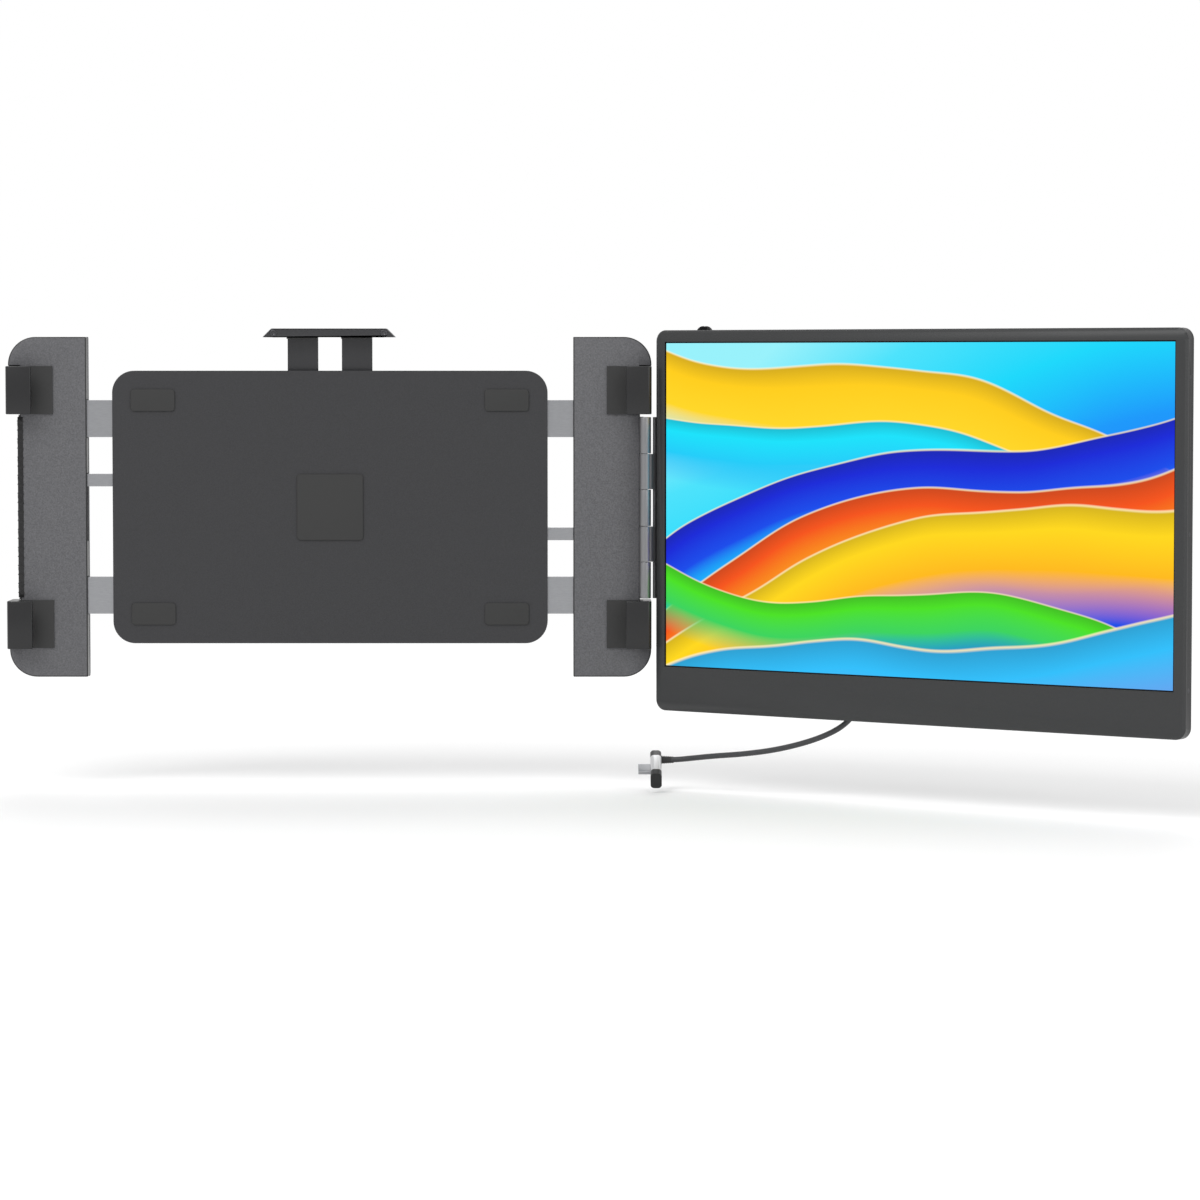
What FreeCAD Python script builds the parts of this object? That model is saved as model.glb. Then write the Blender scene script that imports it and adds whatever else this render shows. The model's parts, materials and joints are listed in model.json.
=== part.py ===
import FreeCAD, Part
import math
import os
import re

import Sketcher

V = FreeCAD.Vector
doc = FreeCAD.newDocument("ScreenExtender")
sheet = doc.addObject("Spreadsheet::Sheet", "Sizes")
nodes = []

# Driving sizes in millimetres and degrees. X is right, Y is back, Z is up.
# Y = 0 is the back plane of the lid that the pads rest on.
SIZES = {
    "housing_wide": 236, "housing_tall": 148, "housing_corner": 12, "wall": 2,
    "pad_thick": 1, "front_wall": 1.6, "seam": 8.6, "back_face": 13,
    "wing_reach": 174.4, "wing_wide": 42.4, "wing_tall": 184.6, "wing_corner": 15,
    "ear_thick": 6.2, "clip_low": 50.5, "clip_high": 76.5, "channel": 8.5,
    "lip_thick": 2.5, "lip_reach": 13.8, "clip_round": 2.2,
    "rail_edge": 16, "rail_tall": 20, "rail_overlap": 80, "rail_stop": 12.4, "play": 0.3,
    "tooth_module": 1, "tooth_count": 20, "rack_past": 50, "rack_top": 18, "pin_radius": 2,
    "fit": 0.05, "backlash": 0.15,
    "leg_inner": 6.5, "leg_outer": 22.9, "leg_foot": 34, "leg_front": 3.2, "leg_back": 7.4,
    "bar_base": 92.1, "bar_tall": 4.7, "bar_half": 35.75, "bar_top_half": 31, "bar_front": -7,
    "stand_half": 60, "stand_top": 52, "stand_tall": 116, "stand_thick": 2.4,
    "stand_pin": 0.7, "stand_round": 1.19, "stand_foot": 3, "stand_notch": 9, "wing_in": 13.5,
    "grip_thick": 0.8, "grip_reach": 18, "rib_pitch": 9.8, "rib_radius": 5, "rib_proud": 1.4,
    "shank": 1.2, "head": 2.4, "head_thick": 1.4, "screw_inset": 6, "hook_screw_x": 29.8,
    "hinge_inset": 3.5, "hinge_y": -8.1, "hinge_half": 49, "barrel_radius": 3.2,
    "hinge_pin": 1.3, "leaf_thick": 2, "leaf_deep": 17, "knuckle_gap": 0.3, "screen_turn": 36.1,
    "screen_gap": 4.1, "screen_front": 3.5, "screen_thick": 8, "screen_wide": 323.4,
    "bezel_side": 7, "bezel_top": 6.9, "bezel_chin": 24.5, "screen_bottom": -109.7,
    "screen_tall": 205.5, "screen_corner": 6, "front_chamfer": 1.2, "bezel_deep": 5.5,
    "window_rim": 0.6, "skin": 1.7, "panel_thick": 1.2, "light_thick": 1.5, "light_margin": 3,
    "tray_thick": 0.6, "board_gap": 0.3, "board_thick": 1.2, "back_skin": 1.5,
    "jog_from_edge": 28.6, "jog_radius": 4.75, "jog_proud": 2.2, "jog_thick": 2.4, "jog_front": 4.5,
    "jog_pin": 0.8, "jog_press": 0.4,
    "port_from_edge": 125.2, "port_pitch": 16, "port_wide": 70, "port_low": -72,
    "port_high": -24, "port_deep": 7.6, "plug_wide": 10.6, "plug_thick": 5.6, "plug_long": 12,
    "relief_long": 5, "relief_radius": 2.4, "cable_radius": 1.5,
    "elbow_x": 176.6, "elbow_y": -18.4, "elbow_z": -135.8, "deck_slope": 25,
    "plug_round": 2, "tip_round": 1.1,
    "elbow_wide": 6, "elbow_tall": 9, "elbow_long": 25, "neck_long": 5, "band_long": 5,
}
# Places that follow from the driving sizes.
RULES = {
    "wing_inner": "=wing_reach - wing_wide", "rail_outer": "=wing_reach - rail_stop",
    "rail_inner": "=housing_wide/2 - rail_overlap", "hinge_x": "=wing_reach - hinge_inset",
    "rail_high": "=housing_tall/2 - rail_edge", "rail_low": "=rail_high - rail_tall",
}
for row, (name, content) in enumerate([*SIZES.items(), *RULES.items()], start=1):
    sheet.set("A%d" % row, name)
    sheet.set("B%d" % row, str(content))
    sheet.setAlias("B%d" % row, name)
doc.recompute()


def val(name):
    return float(sheet.get(name))


def bind(thing, prop, rule):
    """Bind a property to a rule written in the sheet's aliases."""
    words = re.sub(r"[a-z][a-z_]+", lambda m: "Sizes." + m.group(), str(rule))
    words = re.sub(r"Sizes\.(sin|cos|tan|sqrt)\b", r"\1", words)
    thing.setExpression(prop, words)


def keep(thing, label):
    """Name a finished piece as a node of the assembly."""
    thing.Label = label
    nodes.append(thing)
    return thing


def shift(thing, x=0, y=0, z=0):
    for axis, rule in zip("xyz", (x, y, z)):
        if rule != 0:
            bind(thing, "Placement.Base." + axis, rule)
    return thing


def block(x, y, z):
    """A box from three pairs of rules, lowest and highest."""
    box = doc.addObject("Part::Box", "Block")
    for prop, (low, high) in zip(("Length", "Width", "Height"), (x, y, z)):
        bind(box, prop, "(%s) - (%s)" % (high, low))
    return shift(box, x[0], y[0], z[0])


def rod(radius, length, start, axis="y"):
    """A cylinder of one radius whose base centre is at start."""
    bar = doc.addObject("Part::Cylinder", "Rod")
    bind(bar, "Radius", radius)
    bind(bar, "Height", length)
    turn = {"x": (V(0, 1, 0), 90), "y": (V(1, 0, 0), -90), "z": (V(0, 0, 1), 0)}[axis]
    bar.Placement.Rotation = FreeCAD.Rotation(*turn)
    return shift(bar, *start)


def peg(radius, length, start, axis="y"):
    """A slim twelve-sided rod, for screws and the holes that take them."""
    bar = doc.addObject("Part::Prism", "Peg")
    bar.Polygon = 12
    bind(bar, "Circumradius", radius)
    bind(bar, "Height", length)
    turn = {"x": (V(0, 1, 0), 90), "y": (V(1, 0, 0), -90)}[axis]
    bar.Placement.Rotation = FreeCAD.Rotation(*turn)
    return shift(bar, *start)


def fuse(*pieces):
    joined = doc.addObject("Part::MultiFuse", "Fusion")
    joined.Shapes = list(pieces)
    joined.Refine = True
    return joined


def group(*pieces):
    """Several separate solids in one node."""
    several = doc.addObject("Part::Compound", "Group")
    several.Links = list(pieces)
    return several


def cut(base, *tools):
    for tool in tools:
        less = doc.addObject("Part::Cut", "Cut")
        less.Base = base
        less.Tool = tool
        base = less
    return base


def ease(base, radius, along, pick, kind="Part::Fillet"):
    """Round or chamfer the straight edges along one axis whose middle passes the test."""
    doc.recompute()
    numbers = []
    for number, edge in enumerate(base.Shape.Edges, start=1):
        ends = [vertex.Point for vertex in edge.Vertexes]
        if len(ends) == 2 and edge.Curve.TypeId == "Part::GeomLine":
            course = ends[1] - ends[0]
            if abs(abs(getattr(course, along)) - course.Length) < 0.001 and pick((ends[0] + ends[1]) / 2):
                numbers.append(number)
    eased = doc.addObject(kind, "Eased")
    eased.Base = base
    eased.Edges = [(number, val(radius), val(radius)) for number in numbers]
    return eased


def at(place, **spots):
    """Whether a point has these coordinates, on either side of zero."""
    return all(abs(abs(getattr(place, axis)) - abs(spot)) < 0.01 for axis, spot in spots.items())


def mirrored(thing):
    """The same piece on the other side of X = 0."""
    other = doc.addObject("Part::Mirroring", "Mirrored")
    other.Source = thing
    other.Normal = V(1, 0, 0)
    return other


ROLES = {"x": ("YZ_Plane", False), "y": ("XZ_Plane", True), "z": ("XY_Plane", False)}


def sketch_on(body, axis, corners):
    """A closed outline whose corners are pairs of rules."""
    sketch = body.newObject("Sketcher::SketchObject", "Outline")
    role = ROLES[axis][0]
    plane = [part for part in body.Origin.OriginFeatures if part.Role == role][0]
    sketch.AttachmentSupport = [(plane, "")]
    sketch.MapMode = "FlatFace"
    for number in range(len(corners)):
        here = V(number, number * number, 0)
        sketch.addGeometry(Part.LineSegment(here, here + V(1, 2 * number + 1, 0)), False)
    for number, (x, y) in enumerate(corners):
        earlier = (number - 1) % len(corners)
        sketch.addConstraint(Sketcher.Constraint("Coincident", earlier, 2, number, 1))
        for kind, rule in (("DistanceX", x), ("DistanceY", y)):
            place = sketch.addConstraint(Sketcher.Constraint(kind, -1, 1, number, 1, 1.0))
            bind(sketch, "Constraints[%d]" % place, rule)
    return sketch


def prism(axis, corners, start, length):
    """A padded outline along an axis, from start over length."""
    body = doc.addObject("PartDesign::Body", "Body")
    sketch = sketch_on(body, axis, corners)
    pad = body.newObject("PartDesign::Pad", "Pad")
    pad.Profile = sketch
    bind(pad, "Length", length)
    pad.Reversed = ROLES[axis][1]
    bind(body, "Placement.Base." + axis, start)
    return body


def rectangle(x, z):
    return [(x[0], z[0]), (x[1], z[0]), (x[1], z[1]), (x[0], z[1])]


def plate(x, z, y, corner):
    """A flat plate with four rounded corners, over the range y in depth."""
    flat = prism("y", rectangle(x, z), y[0], "(%s) - (%s)" % (y[1], y[0]))
    doc.recompute()
    box = flat.Shape.BoundBox
    middle = box.Center
    return ease(
        flat, corner, "y",
        lambda p: at(p - middle, x=box.XMax - middle.x, z=box.ZMax - middle.z),
    )


def both(rule):
    return ("-(%s)" % rule, rule)


INSIDE = ("pad_thick + front_wall", "seam + 1")
LAYER = ("pad_thick + front_wall + play", "seam - play")


def housing():
    """Centre housing: a moulded front tray, a rear cover and what they hold."""
    tray = plate(both("housing_wide/2"), both("housing_tall/2"), ("pad_thick", "seam"), "housing_corner")
    hollow = plate(both("housing_wide/2 - wall"), both("housing_tall/2 - wall"), INSIDE, "housing_corner")
    across = both("housing_wide/2 + 1")
    mouths = [
        block(across, INSIDE, ("rail_low - play", "rail_high + play")),
        block(across, INSIDE, ("-rail_high - play", "-rail_low + play")),
        block(across, INSIDE, both("rack_top + play")),
    ]
    for x in (("leg_inner - play", "leg_outer + play"), ("-leg_outer - play", "-leg_inner + play")):
        mouths.append(block(x, ("leg_front - play", "leg_back + play"), ("0", "housing_tall")))
    keep(cut(tray, hollow, *mouths), "front_tray")

    cover = plate(both("housing_wide/2"), both("housing_tall/2"), ("seam", "back_face"), "housing_corner")
    bed = plate(
        both("stand_half + play"), ("stand_top - stand_tall - play", "stand_top + play"),
        ("back_face - stand_thick - play", "back_face + 1"), "pad_thick",
    )
    floor = "back_face - stand_thick - play"
    finger = rod("stand_notch", "back_face", ("0", floor, "stand_top - stand_tall"))
    spots = [(x, z) for x in both("housing_wide/2 - wall*18") for z in both("housing_tall/2 - wall*2.5")]
    holes = screws("cover_screws", spots, "seam - 4", "back_face")
    rim = lambda p: at(p, y=val("back_face"), z=val("housing_tall") / 2)
    cover = ease(cover, "pad_thick", "x", rim, "Part::Chamfer")
    keep(cut(cover, bed, finger, kickstand(), *holes), "rear_cover")

    pads = [plate(both("wall*9"), both("wall*9"), ("0", "pad_thick"), "wall")]
    for x in ("-housing_wide/2 + wall*11", "housing_wide/2 - wall*11"):
        for z in ("-housing_tall/2 + wall*8", "housing_tall/2 - wall*8"):
            pads.append(plate(("%s - wall*6" % x, "%s + wall*6" % x), ("%s - wall*3" % z, "%s + wall*3" % z),
                              ("0", "pad_thick"), "wall"))
    keep(group(*pads), "silicone_pads")

    guides = []
    for side in (1, -1):
        below, above = ("rail_low - wall - play", "rail_low - play"), ("rail_high + play", "rail_high + wall + play")
        for z in (below, above):
            for up in (1, -1):
                x = ("housing_wide/2 - wall*16", "housing_wide/2 - wall")
                guides.append(block(
                    x if side > 0 else ("-(%s)" % x[1], "-(%s)" % x[0]), (INSIDE[0], "seam"),
                    z if up > 0 else ("-(%s)" % z[1], "-(%s)" % z[0]),
                ))
    keep(group(*guides), "rail_guides")

    posts = []
    for x, z in spots:
        post = rod("wall*1.5", "seam - pad_thick - front_wall", (x, INSIDE[0], z))
        posts.append(cut(post, peg("shank + fit", "wall*5", (x, "seam - 4", z))))
    keep(group(*posts), "screw_posts")
    keep(rod("pin_radius", "seam - pad_thick - front_wall", ("0", INSIDE[0], "0")), "pinion_pin")


def gear_outline(count, module, thin):
    """Involute teeth as one closed wire in the XZ plane, the first tooth on +Z."""
    pitch, angle = count * module / 2, math.radians(20)
    base, tip, root = pitch * math.cos(angle), pitch + module, pitch - 1.25 * module
    half = (math.pi * module / 2 - thin) / 2 / pitch

    def flank(radius):
        swing = math.acos(min(1, base / radius))
        return half + math.tan(angle) - angle - math.tan(swing) + swing

    points = []
    for tooth in range(count):
        middle = tooth * 2 * math.pi / count
        low = max(base, root)
        radii = [root, low, (low + pitch) / 2, pitch, (pitch + tip) / 2, tip]
        turns = [flank(low)] + [flank(radius) for radius in radii[1:]]
        right = [(radius, middle - turn) for radius, turn in zip(radii, turns)]
        left = [(radius, middle + turn) for radius, turn in zip(radii, turns)]
        points += right + left[::-1]
    corners = [V(radius * math.sin(turn), 0, radius * math.cos(turn)) for radius, turn in points]
    return Part.makePolygon(corners + corners[:1])


def pinion():
    start, deep = val("pad_thick") + val("front_wall") + val("play"), val("seam") - val("play")
    outline = gear_outline(int(val("tooth_count")), val("tooth_module"), val("backlash"))
    wheel = Part.Face(outline).extrude(V(0, deep - start, 0))
    bore = Part.makeCylinder(val("pin_radius") + val("fit"), deep, V(0, -1, 0), V(0, 1, 0))
    gear = doc.addObject("Part::Feature", "Pinion")
    gear.Shape = wheel.cut(bore)
    gear.Placement.Base = V(0, start, 0)
    keep(gear, "pinion_gear")


def rack():
    """The right rack: straight flanks facing up at the pinion's lower side."""
    module, pitch = val("tooth_module"), val("tooth_module") * val("tooth_count") / 2
    slope, step = math.tan(math.radians(20)), math.pi * module
    half = (step / 2 - val("backlash")) / 2
    root, tip, low = -pitch - 1.25 * module, -pitch + module, -val("rack_top")
    first, last = -val("rack_past"), val("wing_in") + 3 * step
    corners = [V(first, 0, low), V(first, 0, root)]
    middle = step / 2 + step * math.ceil((first - step / 2 + 2 * half) / step)
    while middle + 2 * half < last:
        wide, thin = half + slope * (-pitch - root), half - slope * (tip + pitch)
        corners += [V(middle - wide, 0, root), V(middle - thin, 0, tip)]
        corners += [V(middle + thin, 0, tip), V(middle + wide, 0, root)]
        middle += step
    corners += [V(last, 0, root), V(val("rail_outer"), 0, root), V(val("rail_outer"), 0, low), corners[0]]
    start, deep = val("pad_thick") + val("front_wall") + val("play"), val("seam") - val("play")
    bar = doc.addObject("Part::Feature", "Rack")
    bar.Shape = Part.Face(Part.makePolygon(corners)).extrude(V(0, deep - start, 0))
    bar.Placement.Base = V(0, start, 0)
    keep(bar, "right_rack")
    turned = doc.addObject("Part::Feature", "TurnedRack")
    turned.Shape = bar.Shape.copy().mirror(V(0, 0, 0), V(1, 0, 0)).mirror(V(0, 0, 0), V(0, 0, 1))
    keep(turned, "left_rack")


def screws(label, spots, low, high):
    """Flat-head screws along Y; returns the clearance holes for them."""
    made, holes = [], []
    for x, z in spots:
        under = "(%s) - head_thick" % high
        shank = peg("shank", "%s - (%s)" % (under, low), (x, low, z))
        made.append(fuse(shank, peg("head", "head_thick", (x, under, z))))
        holes.append(peg("shank + fit", "%s - (%s)" % (under, low), (x, low, z)))
        holes.append(peg("head + fit", "head_thick + 1", (x, under, z)))
    keep(group(*made), label)
    return holes


def wing():
    """Right wing with its rails, covers and channel clips; the left one is its mirror image."""
    tall, edge = "wing_tall/2", "wing_reach - ear_thick"
    corners = [
        ("wing_inner", "-wing_tall/2"), ("wing_reach", "-wing_tall/2"), ("wing_reach", "-clip_high"),
        (edge, "-clip_high"), (edge, "clip_high"), ("wing_reach", "clip_high"),
        ("wing_reach", tall), ("wing_inner", tall),
    ]
    pieces = {}
    rails = [
        block(("rail_inner", "rail_outer"), LAYER, z)
        for z in (("rail_low", "rail_high"), ("-rail_high", "-rail_low"))
    ]
    spots = [(x, z) for x in ("rail_outer - screw_inset", "wing_inner + screw_inset")
             for z in both("(rail_low + rail_high)/2")]
    holes = screws("right_wing_screws", spots, LAYER[0], "back_face")
    pieces["wing_screws"] = nodes[-1]

    front = prism("y", corners, "pad_thick", "seam - pad_thick")
    round_corner = lambda p: at(p, x=val("wing_reach"), z=val("wing_tall") / 2)
    front = ease(front, "wing_corner", "y", round_corner)
    room = ("wing_inner - 1", "rail_outer + play")
    hollows = [
        block(room, INSIDE, ("rail_low - play", "rail_high + play")),
        block(room, INSIDE, ("-rail_high - play", "-rail_low + play")),
        block(room, INSIDE, both("rack_top + play")),
    ]
    pieces["wing_front"] = cut(front, *hollows)
    back = ease(prism("y", corners, "seam", "back_face - seam"), "wing_corner", "y", round_corner)
    rim = lambda p: at(p, y=val("back_face"), z=val("wing_tall") / 2)
    back = ease(back, "pad_thick", "x", rim, "Part::Chamfer")
    pieces["wing_back"] = cut(back, *holes)
    pieces["wing_rails"] = cut(group(*rails), *holes[::2])

    outline = [
        ("wing_reach", "-channel - lip_thick"), ("wing_reach", "back_face"), (edge, "back_face"),
        (edge, "-channel"), ("wing_reach - lip_reach", "-channel"),
        ("wing_reach - lip_reach", "-channel - lip_thick"),
    ]
    pads = [
        (edge + " - grip_reach", "0"), (edge + " - grip_thick", "0"), (edge + " - grip_thick", "-channel"),
        (edge, "-channel"), (edge, "pad_thick"), (edge + " - grip_reach", "pad_thick"),
    ]
    clips, grips = [], []
    for low in ("clip_low", "-clip_high"):
        hook = prism("z", outline, low, "clip_high - clip_low")
        clips.append(ease(hook, "clip_round", "z", lambda p: at(p, x=val("wing_reach"))))
        grips.append(prism("z", pads, low, "clip_high - clip_low"))
    pieces["channel_clips"] = group(*clips)
    pieces["clip_grips"] = group(*grips)
    for name, piece in pieces.items():
        if name != "wing_screws":
            keep(piece, "right_" + name)
        keep(mirrored(piece), "left_" + name)


def edge_ribs():
    """Slanted round ribs on a strip along the left wing's outer edge."""
    edge, proud, radius = val("wing_reach") - val("ear_thick"), val("rib_proud"), val("rib_radius")
    low, high, half = val("pad_thick") + 0.5, val("back_face") - 0.5, val("clip_low") - 0.5
    strip = Part.makeBox(proud, high - low, 2 * half, V(-edge - proud, low, -half))
    base = Part.makeBox(proud / 3, high - low, 2 * half, V(-edge - proud / 3, low, -half))
    slant, middle = V(0, math.cos(math.radians(35)), math.sin(math.radians(35))), (low + high) / 2
    count = int(half / val("rib_pitch"))
    bars = []
    for number in range(-count, count + 1):
        centre = V(-edge - proud + radius, middle, number * val("rib_pitch"))
        bars.append(Part.makeCylinder(radius, 6 * radius, centre - slant * 3 * radius, slant).common(strip))
    ribs = doc.addObject("Part::Feature", "Ribs")
    ribs.Shape = base.multiFuse(bars).removeSplitter()
    keep(ribs, "left_edge_ribs")


def top_hook():
    """The hook that rests on the lid's top edge, with two legs that slide in the housing."""
    profile = [
        ("-bar_half", "bar_base"), ("bar_half", "bar_base"),
        ("bar_top_half", "bar_base + bar_tall"), ("-bar_top_half", "bar_base + bar_tall"),
    ]
    bar = prism("y", profile, "bar_front", "leg_back - bar_front")
    bar = ease(bar, "pad_thick", "x", lambda p: at(p, z=val("bar_base") + val("bar_tall")), "Part::Fillet")
    legs = [
        block(x, ("leg_front", "leg_back"), ("leg_foot", "bar_base + 1"))
        for x in (("leg_inner", "leg_outer"), ("-leg_outer", "-leg_inner"))
    ]
    spots = both("hook_screw_x")
    seats = [peg("head - 0.4", "head_thick", (x, "bar_front", "bar_base + bar_tall/2 - 0.2")) for x in spots]
    keep(cut(fuse(bar, *legs), *seats), "top_hook")
    heads = [peg("head - 0.4 - fit", "head_thick", (x, "bar_front", "bar_base + bar_tall/2 - 0.2")) for x in spots]
    keep(group(*heads), "hook_screws")
    pads = [
        block(x, ("bar_front + 1", "pad_thick"), ("bar_base - pad_thick + 0.1", "bar_base"))
        for x in (("leg_inner", "leg_outer"), ("-leg_outer", "-leg_inner"))
    ]
    keep(group(*pads), "hook_pads")


def kickstand():
    """A plate that swings out of the rear cover on a pin near its top."""
    depth = ("back_face - stand_thick", "back_face")
    tall = ("stand_top - stand_tall + stand_foot", "stand_top")
    flat = block(both("stand_half"), depth, tall)
    flat = ease(flat, "stand_round", "x", lambda p: at(p, z=val("stand_top")))
    notch = rod("stand_notch", "back_face", ("0", "0", tall[0] + " - stand_foot"))
    axis = ("back_face - stand_thick/2", "stand_top - stand_thick/2")
    bore = rod("stand_pin + fit", "2*stand_half + 2", ("-stand_half - 1", *axis), "x")
    window = plate(both("stand_half - 22"), ("stand_top - 70", "stand_top - 24"), (depth[0] + " - 1", depth[1] + " + 1"), "wing_corner")
    keep(cut(flat, notch, bore, window), "kickstand")
    feet = [
        block(x, depth, (tall[0] + " - stand_foot", tall[0]))
        for x in (("stand_notch + 3", "stand_half - 4"), ("-stand_half + 4", "-stand_notch - 3"))
    ]
    keep(group(*feet), "kickstand_feet")
    keep(rod("stand_pin", "2*stand_half + 10", ("-stand_half - 5", *axis), "x"), "kickstand_pin")
    return rod("stand_pin", "2*stand_half + 10", ("-stand_half - 5", *axis), "x")


def knuckles(bands, arm_x, arm_y, centre):
    """Barrel knuckles with their arms over the given bands of height, bored for the pin."""
    x, y = centre
    made = []
    for low, high in bands:
        length = "(%s) - (%s)" % (high, low)
        arm = block(arm_x, arm_y, (low, high))
        barrel = rod("barrel_radius", length, (x, y, low), "z")
        bore = rod("hinge_pin + fit", length, (x, y, low), "z")
        made.append(cut(fuse(arm, barrel), bore))
    return made


def side_hinge():
    """The right wing's half of the screen hinge, with the pin and its screws."""
    face = "wing_reach - ear_thick"
    leaf_x = (face, face + " + leaf_thick")
    top, mid, gap = "hinge_half", "hinge_half/5", "knuckle_gap"
    bands = [("-" + top, "-%s + 2*%s" % (top, mid)), ("-" + mid, mid), ("%s - 2*%s" % (top, mid), top)]
    clear = "hinge_y + barrel_radius + %s" % gap
    leaf = block(leaf_x, (clear, "hinge_y + leaf_deep"), both(top))
    fixed = knuckles(bands, leaf_x, ("hinge_y", clear), ("hinge_x", "hinge_y"))
    holes = []
    heads = []
    for z in ("-hinge_half + 12", "0", "hinge_half - 12"):
        spot = (face, "back_face - 6", z)
        heads.append(peg("head", "leaf_thick", spot, "x"))
        holes.append(peg("head + fit", "leaf_thick", spot, "x"))
    keep(cut(fuse(leaf, *fixed), *holes), "hinge_wing_leaf")
    keep(group(*heads), "hinge_wing_screws")
    keep(rod("hinge_pin", "2*hinge_half", ("hinge_x", "hinge_y", "-hinge_half"), "z"), "hinge_pin")


def on_screen(label, *pieces):
    """Pieces drawn square to the screen, turned with it about the hinge axis."""
    turned = group(*pieces)
    turned.Placement.Rotation = FreeCAD.Rotation(V(0, 0, -1), val("screen_turn"))
    bind(turned, "Placement.Rotation.Angle", "screen_turn")
    return keep(shift(turned, "hinge_x", "hinge_y"), label)


LEFT, RIGHT = "screen_gap", "screen_gap + screen_wide"
LOW, HIGH = "screen_bottom", "screen_bottom + screen_tall"
FRONT, SPLIT, BACK = "screen_front", "screen_front + bezel_deep", "screen_front + screen_thick"
PANEL_X = ("screen_gap + bezel_side", RIGHT + " - bezel_side")
PANEL_Z = ("screen_bottom + bezel_chin", HIGH + " - bezel_top")


def grown(pair, by):
    return ("%s - (%s)" % (pair[0], by), "%s + %s" % (pair[1], by))


def behind(rule, by):
    return "%s + %s" % (rule, by)


def screen_hinge():
    """The moving leaf on the screen's edge, between the fixed knuckles."""
    mid, top = "hinge_half/5", "hinge_half"
    bands = [("-%s + 2*%s + knuckle_gap" % (top, mid), "-%s - knuckle_gap" % mid),
             (mid + " + knuckle_gap", "%s - 2*%s - knuckle_gap" % (top, mid))]
    leaf_x = ("screen_gap - leaf_thick*0.75", "screen_gap")
    leaf = block(leaf_x, ("screen_front", "screen_front + screen_thick - 0.5"), both(top))
    arms = knuckles(bands, ("hinge_pin", "screen_gap"), ("0", "screen_front"), ("0", "0"))
    heads, holes = [], []
    for z in ("-hinge_half + 12", "0", "hinge_half - 12"):
        spot = (leaf_x[0], "screen_front + screen_thick/2", z)
        heads.append(peg("head - 0.6", "leaf_thick*0.75", spot, "x"))
        holes.append(peg("head - 0.6 + fit", "leaf_thick*0.75", spot, "x"))
    on_screen("hinge_screen_leaf", cut(fuse(leaf, *arms), *holes))
    on_screen("hinge_screen_screws", *heads)


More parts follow.
